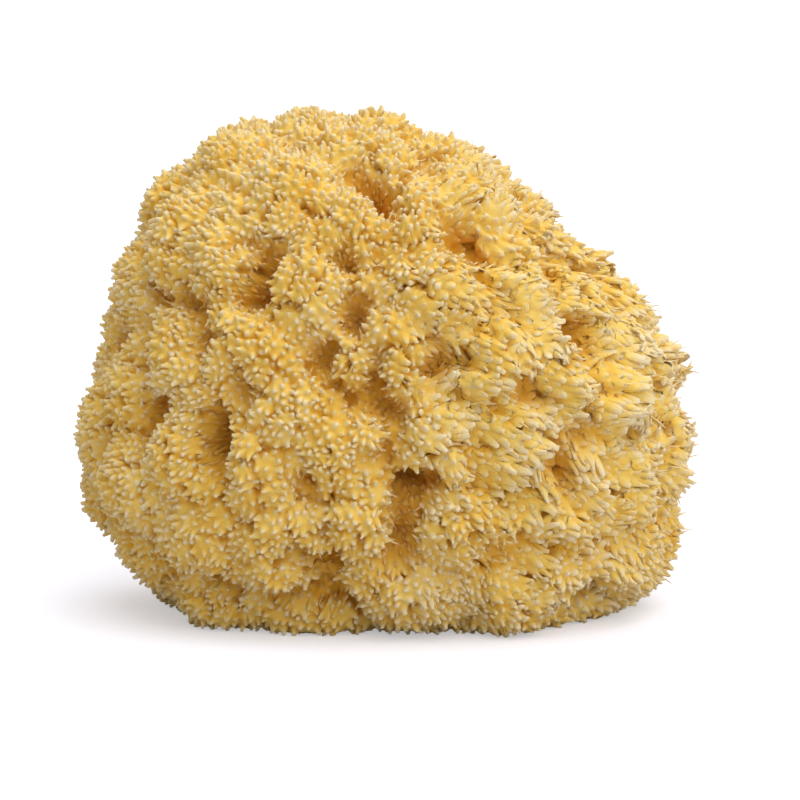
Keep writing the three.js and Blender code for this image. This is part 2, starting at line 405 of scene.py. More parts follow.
class Form:
    """The sponge's broad shape: one radius about the heart for each of many directions."""

    BALL_STEPS = 7
    SAME_POINT = MM / 1000
    # How often the radii are spread over their neighbours, for the surface without its tips and for the broad
    # form, and how much of its own each keeps
    FINE_PASSES = 6
    BROAD_PASSES = 160
    KEPT_SHARE = 0.25
    # How far a tip stands out, how deep a dip is still no furrow, and where hollows begin and are deepest
    TIP_STANDS = 0.9 * MM
    DIP = 0.8 * MM
    SHALLOW, DEEP = 0.2 * MM, 4.5 * MM
    # How high the cut face may lie, the softness of its edge, and the least that a direction to it looks down
    FLAT = 0.2 * MM
    CUT_EDGE = (0.5, 0.9)
    LEAST_DOWN = 0.05

    def __init__(self, settings):
        self.read_ball()
        solid = bmesh.new()
        solid.from_mesh(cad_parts[NODE].data)
        bmesh.ops.remove_doubles(solid, verts=solid.verts, dist=self.SAME_POINT)
        reach = self.reach_of(BVHTree.FromBMesh(solid))
        corners = np.array([vert.co[:] for vert in solid.verts])
        solid.free()
        level = self.smoothed(reach, self.FINE_PASSES)
        broad = self.smoothed(reach, self.BROAD_PASSES)
        # How deep in a hollow each point lies, which shortens tufts there and sets painted shade in the
        # colour
        self.hollow = smoothstep(broad - level, self.SHALLOW, self.DEEP)
        self.find_tips(corners, level)
        level = level - settings.furrow_gain * np.maximum(broad - level - self.DIP, 0)
        flat = self.directions[:, 2] * reach + HEART[2] < self.FLAT
        self.cut = smoothstep(self.smoothed(flat, 1), *self.CUT_EDGE)
        to_floor = HEART[2] / np.maximum(-self.directions[:, 2], self.LEAST_DOWN)
        level += (np.minimum(to_floor, reach) - level) * self.cut
        self.points = HEART + self.directions * level[:, None]
        self.points[:, 2] = np.maximum(self.points[:, 2], 0)
        self.normals = self.point_normals(self.points)
        self.outward = self.point_normals(HEART + self.directions * broad[:, None])

    def read_ball(self):
        """Directions spread over a ball, and its faces and edges."""
        ball = bmesh.new()
        bmesh.ops.create_icosphere(ball, subdivisions=self.BALL_STEPS, radius=1)
        self.directions = np.array([vert.co[:] for vert in ball.verts])
        self.faces = np.array([[vert.index for vert in face.verts] for face in ball.faces])
        self.edges = np.array([[vert.index for vert in edge.verts] for edge in ball.edges])
        ball.free()

    def reach_of(self, solid):
        """How far the solid reaches from the heart in each direction."""
        heart = Vector(HEART)
        return np.array([solid.ray_cast(heart, Vector(way))[3] for way in self.directions])

    def smoothed(self, values, passes):
        """Values spread over their neighbours, a number of times."""
        a, b = self.edges.T
        count = len(values)
        neighbours = np.bincount(a, minlength=count) + np.bincount(b, minlength=count)
        for _ in range(passes):
            total = np.bincount(a, values[b], count) + np.bincount(b, values[a], count)
            values = self.KEPT_SHARE * values + (1 - self.KEPT_SHARE) * total / neighbours
        return values

    def find_tips(self, corners, level):
        """The places of the solid's own tips on the mean surface."""
        way = corners - HEART
        here = level[nearest(tree_of(self.directions), unit(way))]
        stands = np.linalg.norm(way, axis=1) - here > self.TIP_STANDS
        self.tips = HEART + unit(way[stands]) * here[stands, None]

    def point_normals(self, points):
        """Which way a surface of the ball's faces looks at each of its points."""
        a, b, c = (points[self.faces[:, k]] for k in range(3))
        across = np.cross(b - a, c - a)
        total = np.zeros_like(points)
        for k in range(3):
            np.add.at(total, self.faces[:, k], across)
        return unit(total)


class Table:
    """Columns of values that have one row for each thing."""

    def __init__(self, **columns):
        vars(self).update(columns)

    def __len__(self):
        return len(next(iter(vars(self).values())))

    def only(self, chosen):
        """A table of the chosen rows."""
        return Table(**{name: values[chosen] for name, values in vars(self).items()})


CUT, GROWN = range(2)


class Clumps:
    """The clumps that the tufts stand in, with gaps between two of them and holes where three meet."""

    # Distance between the middles of two clumps, in reaches, and how far each clump's lay is turned
    APART = 1.45
    TURN = 0.5
    # How far a gap or a hole goes into a clump, in reaches
    BORDER = 0.75
    # Holes and gaps come and go in patches of these sizes, between these values of the noise
    HOLE_PATCH, HOLE_COMES = 5 * MM, (-0.35, 0.35)
    GAP_PATCH, GAP_COMES, GAP_SHIFT = 7 * MM, (-0.5, 0.3), 9 * MM
    LEAST_GAP = 0.35
    # How much deeper the combed side's webs lie, how flat its lay is, and from where to where its clumps rise
    COMBED_DEEPER = 0.5
    LAID_FLAT = 0.75
    RISES = (-0.8, 0.8)
    # The softness of the cut face's edge, for the webs' depth and for the overhang
    DEPTH_ENDS = (0.3, 0.9)
    OVERHANG_ENDS = (0.0, 0.5)

    def __init__(self, tips, shape, tufts):
        self.shape = shape
        self.tufts = tufts
        self.middles = tips[spaced(tips, self.reach(side_share(tips)) * self.APART)]
        random = np.random.default_rng(tufts.seed + 5)
        self.turned = np.array(tufts.combed_way) + self.TURN * random.normal(size=(len(self.middles), 3))
        self.tree = tree_of(self.middles)

    def reach(self, combed):
        """From the middle of a clump to its edge, by how far it is on the combed side."""
        return between(self.shape.clump_reach, self.shape.combed_reach, combed)

    def mark(self, table):
        """Adds to places on the mean surface their clump, their share in gaps and holes, and their depth."""
        found = [self.tree.find_n(place, 3) for place in table.place]
        table.clump = np.array([near[0][1] for near in found])
        far = np.array([[distance for _, _, distance in near] for near in found])
        reach = self.reach(table.combed)
        table.gap = 1 - smoothstep((far[:, 1] - far[:, 0]) / reach, 0, self.BORDER)
        table.hole = 1 - smoothstep((far[:, 2] - far[:, 0]) / reach, 0, self.BORDER)
        table.hole *= smoothstep(noise(table.place, self.HOLE_PATCH), *self.HOLE_COMES)
        patches = smoothstep(noise(table.place + self.GAP_SHIFT, self.GAP_PATCH), *self.GAP_COMES)
        table.gap *= between(self.LEAST_GAP, 1, patches)
        depth = self.shape.web_depth + self.shape.gap_depth * table.gap + self.shape.hole_depth * table.hole
        depth *= 1 + self.COMBED_DEEPER * table.combed
        table.depth = depth * (1 - smoothstep(table.cut, *self.DEPTH_ENDS))
        comb = self.turned[table.clump]
        table.lay = comb - self.LAID_FLAT * table.normal * along_of(table.normal, comb)
        away = table.place - self.middles[table.clump]
        away -= table.normal * along_of(away, table.normal)
        table.away = away / reach[:, None]
        table.rise = smoothstep(along_of(table.away, unit(table.lay))[:, 0], *self.RISES)
        over = self.tufts.overhang * table.combed * table.rise
        table.over = table.lay * (over * (1 - smoothstep(table.cut, *self.OVERHANG_ENDS)))[:, None]


# The combed side: where it begins and is full from left to right and from the foot up, where it fades to the
# top, how much of it is left at both ends, and how far and in what lumps its border wanders
COMBED_FROM_LEFT = (-12 * MM, 34 * MM)
COMBED_FROM_FOOT = (12 * MM, 42 * MM)
COMBED_TO_TOP = (78 * MM, 105 * MM)
COMBED_AT_ENDS = 0.4
BORDER_WANDERS = 12 * MM
BORDER_LUMPS = 13 * MM


def side_share(places):
    """How far places are on the combed side, from 0 to 1. It is fullest at middle height."""
    wander = noise(places, BORDER_LUMPS) * BORDER_WANDERS
    height = places[:, 2] + wander
    middle = smoothstep(height, *COMBED_FROM_FOOT) * (1 - smoothstep(height, *COMBED_TO_TOP))
    return smoothstep(places[:, 0] + wander, *COMBED_FROM_LEFT) * between(COMBED_AT_ENDS, 1, middle)


CANDIDATES_PER_MM2 = 3.2
# Random range of the cells' spacing, and how much it swells, in what lumps, everywhere and on the cut face
SPACING_RANGE = (0.85, 1.2)
SWELL = 0.15
SWELL_LUMPS = 9 * MM
PORE_LUMPS = 3 * MM


def place_cells(form, tufts, shape):
    """Where the cells are: each has one tuft in its middle, or on the cut face one pore."""
    random = np.random.default_rng(tufts.seed)
    corners = form.points[form.faces]
    across = np.cross(corners[:, 1] - corners[:, 0], corners[:, 2] - corners[:, 0])
    area = np.linalg.norm(across, axis=1) / 2
    count = int(area.sum() / MM**2 * CANDIDATES_PER_MM2)
    face = random.choice(len(area), count, p=area / area.sum())
    weights = random.dirichlet((1, 1, 1), count)

    def spread(values):
        return np.einsum("nk,nk...->n...", weights, values[form.faces[face]])

    place = spread(form.points)
    cut = spread(form.cut)
    kind = np.where(cut > 0.5, CUT, GROWN)
    spacing = np.array((shape.pore_spacing, tufts.spacing))[kind] * random.uniform(*SPACING_RANGE, count)
    spacing *= 1 + SWELL * noise(place, SWELL_LUMPS) + SWELL * (kind == CUT) * noise(place, PORE_LUMPS)
    cells = Table(
        place=place,
        kind=kind,
        spacing=spacing,
        combed=side_share(place),
        normal=unit(spread(form.normals)),
        outward=unit(spread(form.outward)),
        hollow=spread(form.hollow),
        cut=cut,
    ).only(spaced(place, spacing))
    cells.tone = random.random(len(cells))
    return cells


class Net:
    """Which cells meet round the whole sponge.

    A spoke goes from one cell to a neighbour. Where two cells meet is the middle of a web, and
    where three meet is a corner. Spokes of one cell follow each other round it.
    """

    # Random range of the webs' depth, and how far webs between two clumps are laid over with the combed tufts
    DEPTH_RANGE = (0.85, 1.15)
    PARTED_OVER = 0.1
    # How much painted shade darkens the holes, and the gaps between short and between combed clumps
    HOLE_PAINTED_SHADE = 0.8
    GAP_PAINTED_SHADE = (0.25, 0.6)
    # How far up a tuft's colours the webs are in a clump and in a gap, lower in a gap as painted shade, and
    # what rises and ridges add to it, as painted light where they stand up and painted shade low in a combed
    # clump
    WEB_ALONG = (0.34, 0.08)
    RISE_ALONG = 0.1
    RIDGE_ALONG = 0.25
    # Rows of tufts: the lumps in which they drift, how well two tufts line up, the random range of the webs
    # between them, and the softness of the cut face's edge
    ROW_LUMPS, ROW_APART = 8 * MM, 40 * MM
    LINED_UP = (0.7, 0.95)
    RIDGE_RANGE = (0.4, 1.1)
    RIDGE_ENDS = (0.0, 0.4)

    def __init__(self, cells, clumps, shape, random):
        ways = unit(cells.place - HEART)
        ball = bmesh.new()
        for way in ways:
            ball.verts.new(way)
        bmesh.ops.convex_hull(ball, input=ball.verts[:])
        ball.verts.index_update()
        three = np.array([[vert.index for vert in face.verts] for face in ball.faces])
        ball.free()
        a, b, c = ways[three].transpose(1, 0, 2)
        inward = along_of(np.cross(b - a, c - a), a + b + c)[:, 0] < 0
        three[inward] = three[inward, ::-1]
        count = len(ways)
        self.cell = three.T.ravel()
        ahead = three[:, (1, 2, 0)].T.ravel()
        last = three[:, (2, 0, 1)].T.ravel()
        self.corner = np.tile(np.arange(len(three)), 3)
        key = self.cell * count + ahead
        order = np.argsort(key)
        self.next = order[np.searchsorted(key, self.cell * count + last, sorter=order)]
        low, high = np.minimum(self.cell, ahead), np.maximum(self.cell, ahead)
        pairs, self.middle = np.unique(low * count + high, return_inverse=True)
        pairs = np.stack((pairs // count, pairs % count), axis=1)
        self.middles = self.sunk(cells, pairs, clumps, random)
        self.corners = self.sunk(cells, three, clumps, random)
        self.raise_rows(cells, pairs, shape, random)
        self.round_each_cell(count)

    def sunk(self, cells, groups, clumps, random):
        """Points of the webs where groups of cells meet, sunk under the mean surface."""
        names = ("place", "normal", "hollow", "cut", "combed")
        points = Table(**{name: vars(cells)[name][groups].mean(axis=1) for name in names})
        points.normal = unit(points.normal)
        clumps.mark(points)
        points.parted = (cells.clump[groups] != cells.clump[groups[:, :1]]).any(axis=1)
        level = points.place
        depth = points.depth * random.uniform(*self.DEPTH_RANGE, len(level))
        points.place = level - points.normal * depth[:, None]
        points.place += points.over * np.where(points.parted, self.PARTED_OVER, 1)[:, None]
        points.place[:, 2] = np.maximum(points.place[:, 2], 0)
        # Painted shade: holes and gaps between clumps are darkened towards the root colour
        in_gap = between(*self.GAP_PAINTED_SHADE, points.combed) * points.gap
        painted_shade = np.maximum(self.HOLE_PAINTED_SHADE * points.hole, in_gap)
        points.hollow = np.maximum(points.hollow, painted_shade) * (1 - points.cut)
        # Webs in a gap sit lower in the colours, as painted shade; on the combed side they are painted
        # lighter at a clump's raised end and darker low in it
        points.along = between(*self.WEB_ALONG, points.gap) * (1 - points.hole)
        points.along += self.RISE_ALONG * points.combed * (points.rise - 0.5) * ~points.parted
        return points

    def raise_rows(self, cells, pairs, shape, random):
        """The webs rise between tufts that stand in one row, which runs across the lay on the combed side."""
        points = self.middles
        drift = drift_at(points.place, self.ROW_LUMPS, self.ROW_APART)
        row = unit(np.cross(points.normal, drift)) * (1 - points.combed)[:, None]
        across = unit(np.cross(points.normal, points.lay))
        row += across * (points.combed * np.where(along_of(row, across)[:, 0] < 0, -1, 1))[:, None]
        step = unit(cells.place[pairs[:, 1]] - cells.place[pairs[:, 0]])
        aligned = np.abs(along_of(step, unit(row))[:, 0])
        ridge = smoothstep(aligned, *self.LINED_UP) * random.uniform(*self.RIDGE_RANGE, len(row))
        ridge *= ~points.parted * (1 - smoothstep(points.cut, *self.RIDGE_ENDS))
        points.place += cells.reach[pairs].mean(axis=1) * (shape.ridge_height * ridge)[:, None]
        # Raised ridges sit higher in the colours, with less of the webs' painted shade
        points.along += self.RIDGE_ALONG * ridge

    def round_each_cell(self, count):
        """The place of each spoke in the order round its cell, and each cell's number of spokes."""
        self.spokes = np.bincount(self.cell, minlength=count)
        first = np.full(count, -1)
        first[self.cell] = np.arange(len(self.cell))
        self.turn = np.zeros(len(self.cell), int)
        at = first[self.spokes > 0]
        start = at.copy()
        for step in range(self.spokes.max()):
            self.turn[at] = step
            onward = self.next[at]
            going = onward != start
            at, start = onward[going], start[going]


class Tufts(Table):
    """Tapering tufts, each along a bent line from its root."""

    def line(self, share):
        """The middle of every tuft at a share of its length, or at one share for each tuft."""
        share = np.reshape(share, (-1, 1))
        return self.root + (self.way * share + self.bend * share**2) * self.length[:, None]

    def only(self, chosen):
        return Tufts(**vars(super().only(chosen)))

    def along(self, share):
        """Which way every tuft runs at a share of its length."""
        return unit(self.way + 2 * np.reshape(share, (-1, 1)) * self.bend)


def any_across(ways, random):
    """For each way, a random vector across it."""
    return unit(np.cross(ways, random.normal(size=ways.shape)))


LEAST_CLEAR = 0.2 * MM


def make_tufts(root, way, side, bend, length, width, thickness, tone, hollow):
    """Tufts from their roots, ways and sizes. Those that would run into the floor are turned up along it."""
    way = unit(way)
    way[:, 2] = np.maximum(way[:, 2], (LEAST_CLEAR - root[:, 2]) / length)
    way = unit(way)
    side = unit(side - way * along_of(side, way))
    return Tufts(
        root=root,
        way=way,
        side=side,
        over=np.cross(way, side),
        bend=bend,
        length=length,
        half_width=width / 2,
        half_thickness=thickness / 2,
        tone=tone,
        hollow=hollow,
    )


# How much each way counts in the way that short and combed tufts run, and how much they drift and stray
SHORT_WAY = {"normal": 0.5, "outward": 0.6, "away": 0.4}
COMBED_WAY = {"normal": 0.2, "outward": 0.3, "lay": 1.1, "away": 0.25}
COMBED_DRIFT, DRIFT_LUMPS, DRIFT_APART = 0.3, 14 * MM, 50 * MM
STRAYING = (0.2, 0.28)
# Random ranges of the tufts' lengths, and how short they are in gaps, low in a combed clump, and in hollows
SHORT_RANGE, COMBED_RANGE = (0.6, 1.25), (0.5, 1.15)
GAP_SHORTER = 0.2
LOW_LENGTH = 0.45
HOLLOW_SHORTER = 0.55
# Random ranges of widths, how flat short and combed tufts are, how their sides are turned, and how they bend
COMBED_WIDTHS, WIDTHS = (0.65, 1.35), (0.8, 1.2)
FLATNESS, FLATNESS_RANGE = (0.9, 0.6), (0.85, 1.1)
SIDE_TURN = 0.4
BENDING, DROOP = 0.12, 0.1
# How much of a tuft's tone is its own, and how much painted shade tufts get in holes and low in combed gaps
OWN_TONE = 0.7
HOLE_SHADE_ON_TUFTS, GAP_SHADE_ON_TUFTS = 0.6, 0.4


def way_of(cells, shares):
    """The sum of the cells' ways, each by its share."""
    return sum(share * vars(cells)[name] for name, share in shares.items())


def grown_tufts(cells, tufts, shape, random):
    """Short blunt tufts that spread from their clumps' middles, and longer flat ones laid over sideways."""
    count = len(cells)
    short = way_of(cells, SHORT_WAY)
    combed = way_of(cells, COMBED_WAY) + COMBED_DRIFT * drift_at(cells.place, DRIFT_LUMPS, DRIFT_APART)
    stray = between(*STRAYING, cells.combed)[:, None] * random.normal(size=(count, 3))
    way = unit(between(short, combed, cells.combed) + stray)
    short = tufts.length * random.uniform(*SHORT_RANGE, count) * (1 - GAP_SHORTER * cells.gap)
    combed = tufts.combed_length * between(LOW_LENGTH, 1, cells.rise) * random.uniform(*COMBED_RANGE, count)
    length = between(short, combed, cells.combed) * (1 - HOLLOW_SHORTER * cells.hollow)
    root = cells.place - cells.normal * cells.depth[:, None] + cells.over
    wide = tufts.combed_width * random.uniform(*COMBED_WIDTHS, count)
    width = between(tufts.thickness, wide, cells.combed) * random.uniform(*WIDTHS, count)
    any_side = any_across(way, random)
    flat_side = np.cross(way, cells.normal + SIDE_TURN * random.normal(size=(count, 3)))
    bend = BENDING * random.normal(size=(count, 3)) - DROOP * cells.normal * cells.combed[:, None]
    thickness = width * between(*FLATNESS, cells.combed) * random.uniform(*FLATNESS_RANGE, count)
    # Painted shade on tufts in holes and low in combed gaps
    in_gap = GAP_SHADE_ON_TUFTS * cells.combed * cells.gap * (1 - cells.rise)
    painted_shade = np.maximum(HOLE_SHADE_ON_TUFTS * cells.hole, in_gap)
    return make_tufts(
        root,
        way,
        between(any_side, flat_side, cells.combed),
        bend,
        length,
        width,
        thickness,
        # On the combed side the rest of the tone follows the clump's rise: painted shade low in a clump,
        # painted light at its raised end
        tone=OWN_TONE * cells.tone + (1 - OWN_TONE) * between(0.5, cells.rise, cells.combed),
        hollow=np.maximum(cells.hollow, painted_shade),
    )


# Random ranges of the pores' depth and width, and how much they lean and bend
PORE_DEPTHS = (0.12, 1)
PORE_WIDTHS = (0.5, 0.9)
PORE_LEAN, PORE_BEND = 0.15, 0.05


def pores(cells, tufts, shape, random):
    """The pores of the cut face, which are tufts turned inwards."""
    count = len(cells)
    depth = shape.pore_depth * random.uniform(*PORE_DEPTHS, count)
    width = cells.spacing * random.uniform(*PORE_WIDTHS, count)
    way = -cells.normal + PORE_LEAN * random.normal(size=(count, 3))
    side = any_across(way, random)
    bend = PORE_BEND * random.normal(size=(count, 3))
    # The pores are given full painted shade in their hollow value
    return make_tufts(cells.place, way, side, bend, depth, width, width, cells.tone, np.ones(count))


class Kind:
    """How the cells of one kind are shaped, from the webs to the tips.

    The foot is a share of the tuft's length, a girth, and how far it leaves the web for the tuft.
    Each ring after it is a share of the length and a girth.
    """

    def __init__(self, make, foot, rings, sunk):
        self.make = make
        self.foot = foot
        self.rings = rings
        self.sunk = sunk
        self.triangles = 8 + 2 * (len(rings) - 1)


KINDS = {
    CUT: Kind(pores, (0.04, 1.25, 0.5), ((0.3, 1.0), (0.8, 0.75)), sunk=True),
    GROWN: Kind(grown_tufts, (0.22, 1.4, 0.55), ((0.62, 1.15), (0.94, 0.9)), sunk=False),
}


def ring_points(tufts, share, girth, target):
    """For each tuft, the point of its ring that looks towards a target."""
    across = target - tufts.root
    x, y = along_of(across, tufts.side), along_of(across, tufts.over)
    reach = np.maximum(np.hypot(x, y), 1e-9)
    wide = tufts.side * (x / reach * tufts.half_width[:, None])
    thick = tufts.over * (y / reach * tufts.half_thickness[:, None])
    return tufts.line(share) + (wide + thick) * girth, (x / reach)[:, 0]


def loop(onward, first, second=None):
    """The points of a cell's loop from one spoke to the next, each with its step between them."""
    halfway = [] if second is None else [(second, 0.5)]
    return [(first, 0), *halfway, (first[onward], 1)]


MAP_REACH = 0.47


def band_faces(loops):
    """The faces between a cell's loops from the web to the tip, as (number, step, distance out) corners."""
    out = np.linspace(MAP_REACH, 0, len(loops))
    for n, (low, high) in enumerate(itertools.pairwise(loops)):
        low = [(*point, out[n]) for point in low]
        high = [(*point, out[n + 1]) for point in high]
        if len(low) == len(high):
            yield from ((low[k], low[k + 1], high[k + 1], high[k]) for k in range(len(low) - 1))
        elif len(high) == 1:
            yield from ((low[k], low[k + 1], high[0]) for k in range(len(low) - 1))
        else:
            yield low[0], low[1], high[0]
            yield low[1], low[2], high[1], high[0]


# How far up the colours, from root to tip, where lower is darker partly as painted shade, these are: the
# webs, foot and wall of a pore, darker inwards as painted shade, a tuft's lowest ring, and its foot, to which
# its web's own place is added by a share
PORE_CORNERS, PORE_MIDDLES, PORE_FOOT, PORE_WALL = 0.55, 0.6, 0.5, 0.3
RINGS_ALONG = 0.3
FOOT_ALONG, FOOT_WEB = 0.2, 0.5
WEB_TONE = 0.5
GIRTH_RANGE = (0.92, 1.08)


def cell_mesh(net, tufts, kind, members, random):
    """Points, faces, map places and point values of the tufts in some of the cells of one kind."""
    own = np.full(len(net.spokes), -1)
    own[members] = np.arange(len(members))
    spokes = np.flatnonzero(own[net.cell] >= 0)
    place = np.full(len(net.cell), -1)
    place[spokes] = np.arange(len(spokes))
    onward = place[net.next[spokes]]
    cell = own[net.cell[spokes]]
    corner_used, corner = np.unique(net.corner[spokes], return_inverse=True)
    middle_used, middle = np.unique(net.middle[spokes], return_inverse=True)
    corners, middles = net.corners.only(corner_used), net.middles.only(middle_used)
    tuft = tufts.only(cell)
    share, girth, leave = kind.foot
    blocks = []

    def add(points, along, tone, hollow, rib=0.0):
        first = sum(len(block[0]) for block in blocks)
        values = (np.broadcast_to(column, len(points)) for column in (along, tone, hollow, rib))
        blocks.append([points, *values])
        return first

    if kind.sunk:
        corners.along[:], middles.along[:] = PORE_CORNERS, PORE_MIDDLES
    corner = corner + add(corners.place, corners.along, WEB_TONE, corners.hollow)
    middle = middle + add(middles.place, middles.along, WEB_TONE, middles.hollow)
    targets = middles.place[middle - middle.min()], corners.place[corner - corner.min()]
    lows = middles.along[middle - middle.min()], corners.along[corner - corner.min()]
    count = len(tuft)
    foot = []
    for target, low in zip(targets, lows):
        points, _ = ring_points(tuft, share, girth, target)
        points = target + (points - target) * leave
        along = PORE_FOOT if kind.sunk else FOOT_WEB * low + FOOT_ALONG
        foot.append(np.arange(count) + add(points, along, tuft.tone, tuft.hollow * (not kind.sunk)))
    loops = [loop(onward, middle, corner), loop(onward, *foot)]
    for share, girth in kind.rings:
        girths = girth * random.uniform(*GIRTH_RANGE, (count, 1))
        points, rib = ring_points(tuft, share, girths, targets[0])
        along = PORE_WALL * (1 - share) if kind.sunk else RINGS_ALONG + (1 - RINGS_ALONG) * share
        loops.append(loop(onward, np.arange(count) + add(points, along, tuft.tone, tuft.hollow, rib * girth)))
    tip = cell + add(tufts.line(1.0), 0.0 if kind.sunk else 1.0, tufts.tone, tufts.hollow)
    loops.append([(tip, 0.5)])

    columns = int(np.ceil(np.sqrt(len(members))))
    middle_of = np.stack((cell % columns, cell // columns), axis=1) + 0.5
    numbers, sizes, cells_map = [], [], []
    for face in band_faces(loops):
        numbers.append(np.stack([number for number, _, _ in face], axis=1).ravel())
        sizes.append(np.full(count, len(face)))
        spots = []
        for _, step, out in face:
            angle = 2 * np.pi * (net.turn[spokes] + step) / net.spokes[net.cell[spokes]]
            spots.append(middle_of + out * np.stack((np.cos(angle), np.sin(angle)), axis=1))
        cells_map.append(np.stack(spots, axis=1).reshape(-1, 2) / columns)
    points = np.concatenate([block[0] for block in blocks])
    points[:, 2] = np.maximum(points[:, 2], 0)
    names = ("along", "tone", "hollow", "rib")
    values = {name: np.concatenate([block[n] for block in blocks]) for n, name in enumerate(names, start=1)}
    return points, np.concatenate(numbers), np.concatenate(sizes), np.concatenate(cells_map), values


def mesh_piece(name, material, points, corners, sizes, places, values):
    """A piece from arrays: points, the faces' corners and sizes, the map, and the values of each point."""
    if not len(points):
        raise RuntimeError(f"{name} has no points")
    mesh = bpy.data.meshes.new(name)
    mesh.vertices.add(len(points))
    mesh.vertices.foreach_set("co", points.astype(np.float32).ravel())
    mesh.loops.add(len(corners))
    mesh.loops.foreach_set("vertex_index", corners.astype(np.int32))
    mesh.polygons.add(len(sizes))
    starts = np.concatenate(((0,), np.cumsum(sizes)[:-1]))
    mesh.polygons.foreach_set("loop_start", starts.astype(np.int32))
    mesh.polygons.foreach_set("use_smooth", np.ones(len(sizes), bool))
    mesh.update(calc_edges=True)
    mesh.uv_layers.new(name=BAKE_MAP).data.foreach_set("uv", places.astype(np.float32).ravel())
    for label, value in values.items():
        mesh.attributes.new(label, "FLOAT", "POINT").data.foreach_set("value", value.astype(np.float32))
    mesh.materials.append(material)
    piece = bpy.data.objects.new(name, mesh)
    bpy.context.scene.collection.objects.link(piece)
    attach(piece, "root")
    return piece


class Sponge:
    """Everything that the operators share: the form, the cells, their net and their tufts."""

    def __init__(self):
        scene = bpy.context.scene
        self.shape, self.settings = scene.sponge_form, scene.sponge_tufts
        self.form = Form(self.shape)
        cells = place_cells(self.form, self.settings, self.shape)
        clumps = Clumps(self.form.tips, self.shape, self.settings)
        clumps.mark(cells)
        random = np.random.default_rng(self.settings.seed + 1)
        cells.reach = np.zeros_like(cells.place)
        self.members, self.tufts = {}, {}
        for number, kind in KINDS.items():
            members = np.flatnonzero(cells.kind == number)
            members = members[np.argsort(np.arctan2(*cells.place[members, 1::-1].T), kind="stable")]
            tufts = kind.make(cells.only(members), self.settings, self.shape, random)
            cells.reach[members] = tufts.way * tufts.length[:, None]
            self.members[number], self.tufts[number] = members, tufts
        self.cells = cells
        self.net = Net(cells, clumps, self.shape, random)

    def pieces(self, name, number):
        """All the tufts of one kind, as pieces that each stay under the most triangles."""
        random = np.random.default_rng(self.settings.seed + 2)
        kind, members = KINDS[number], self.members[number]
        triangles = self.net.spokes[members].sum() * kind.triangles
        parts = np.array_split(np.arange(len(members)), int(np.ceil(triangles / MOST_TRIANGLES)))
        pieces = []
        for n, part in enumerate(parts, start=1):
            arrays = cell_mesh(self.net, self.tufts[number].only(part), kind, members[part], random)
            pieces.append(mesh_piece(f"{name}_{n}", fibre_material(), *arrays))
        return pieces


@lru_cache(maxsize=1)
def sponge():
    """The sponge, worked out once for all the operators."""
    return Sponge()


# Rings of the strands: a share of the length and a girth
TOOTH_RINGS = ((0.0, 1.0), (0.5, 0.8))
FIBRE_RINGS = ((0.0, 1.0), (0.3, 0.9), (0.6, 0.75), (0.85, 0.5))
STRAND_SIDES = 4
STRAND_GIRTHS = (0.9, 1.1)
STRAND_ALONG = 0.55
# In its square of the map a strand's sides fill a field, given by a corner and a size, and its root a disc
SIDES_FROM, SIDES_SIZE = (0.04, 0.26), (0.92, 0.7)
ROOT_MIDDLE, ROOT_RADIUS = (0.5, 0.12), 0.09


def strand_mesh(strands, rings, random):
    """Points, faces, map places and point values of closed thin strands."""
    turn = (np.arange(STRAND_SIDES) + 0.5) * 2 * np.pi / STRAND_SIDES
    wide = strands.side[:, None] * np.cos(turn)[None, :, None] * strands.half_width[:, None, None]
    thick = strands.over[:, None] * np.sin(turn)[None, :, None] * strands.half_thickness[:, None, None]
    layers = []
    for share, girth in rings:
        girths = girth * random.uniform(*STRAND_GIRTHS, (len(strands), 1, 1))
        layers.append(strands.line(share)[:, None] + (wide + thick) * girths)
    layers.append(strands.line(1.0)[:, None])
    points = np.concatenate(layers, axis=1)
    points[..., 2] = np.maximum(points[..., 2], 0)
    count, each = points.shape[:2]
    faces, spots = strand_faces(len(rings))
    columns = int(np.ceil(np.sqrt(count)))
    place = np.stack((np.arange(count) % columns, np.arange(count) // columns), axis=1)
    shares = np.concatenate([np.full(STRAND_SIDES, share) for share, _ in rings] + [(1.0,)])
    values = {
        "along": np.tile(STRAND_ALONG + (1 - STRAND_ALONG) * shares, count),
        "tone": np.repeat(strands.tone, each),
        "hollow": np.repeat(strands.hollow, each),
        "rib": np.zeros(count * each),
    }
    return (
        points.reshape(-1, 3),
        (np.arange(count)[:, None] * each + np.concatenate(faces)).ravel(),
        np.tile([len(face) for face in faces], count),
        ((place[:, None] + spots) / columns).reshape(-1, 2),
        values,
    )


def strand_faces(rings):
    """The faces of one strand as corner numbers, and the place of each corner in a square of the map."""
    faces, spots = [], []
    for k, j in itertools.product(range(rings), range(STRAND_SIDES)):
        low, high = k * STRAND_SIDES, (k + 1) * STRAND_SIDES
        onward = (j + 1) % STRAND_SIDES
        corners = [(low + j, j, k), (low + onward, j + 1, k)]
        if k < rings - 1:
            corners += [(high + onward, j + 1, k + 1), (high + j, j, k + 1)]
        else:
            corners.append((high, j + 0.5, k + 1))
        faces.append([number for number, _, _ in corners])
        spots += [(across / STRAND_SIDES, up / rings) for _, across, up in corners]
    faces.append(range(STRAND_SIDES)[::-1])
    turn = 2 * np.pi * (np.arange(STRAND_SIDES)[::-1] + 0.5) / STRAND_SIDES
    disc = np.array(ROOT_MIDDLE) + ROOT_RADIUS * np.stack((np.cos(turn), np.sin(turn)), axis=1)
    return faces, np.concatenate((np.array(SIDES_FROM) + np.array(SIDES_SIZE) * spots, disc))


# Share of the tufts with a tooth at a hollow's rim and at a clump's end, and where a rim begins and ends
RIM_TEETH, END_TEETH = 0.35, 0.3
RIM_BEGINS, RIM_ENDS = (0.04, 0.12), (0.4, 0.7)
